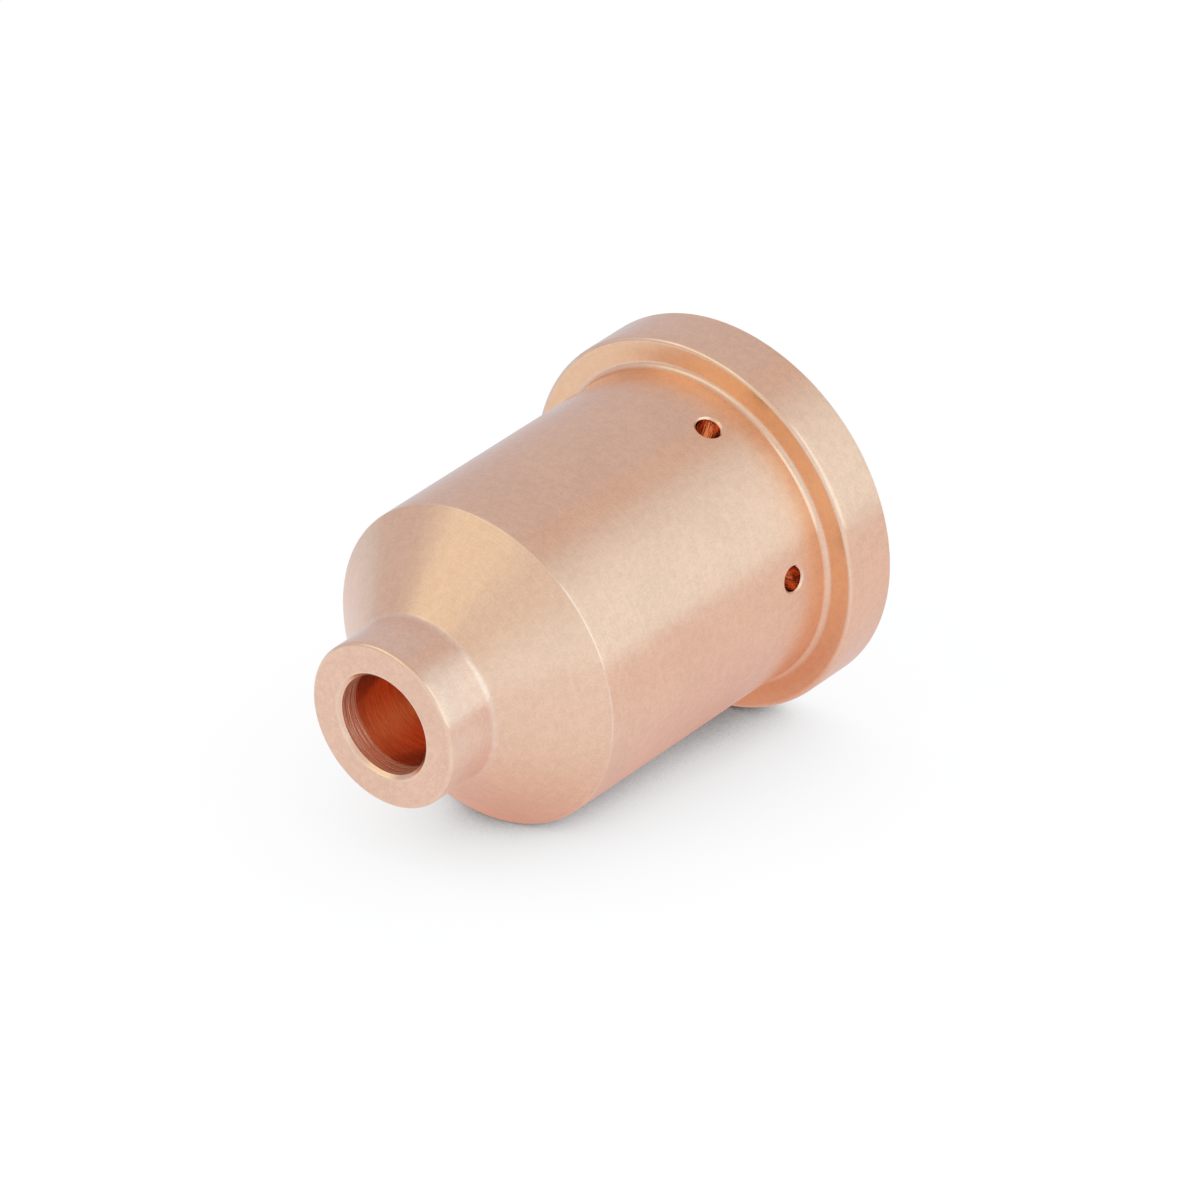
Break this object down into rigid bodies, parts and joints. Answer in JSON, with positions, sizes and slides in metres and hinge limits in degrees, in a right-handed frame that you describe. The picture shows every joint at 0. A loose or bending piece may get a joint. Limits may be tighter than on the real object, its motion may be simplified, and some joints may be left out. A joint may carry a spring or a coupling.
{
  "type": "plasma torch nozzle",
  "caption": "Turned copper torch nozzle: flanged cylinder with radial vents, coned shoulder, wide bored nose, and a stepped rear chamber narrowing to an orifice.",
  "frame": {"origin": "centre of the flange's flat back face", "axes": "+Z along the turned axis, from the flange to the nose; +X through the middle of one radial vent"},
  "size_m": [0.022, 0.022, 0.0292],
  "materials": {
    "copper": "satin turned copper"
  },
  "bodies": {
    "root": {"nozzle": "copper"}
  },
  "joints": []
}
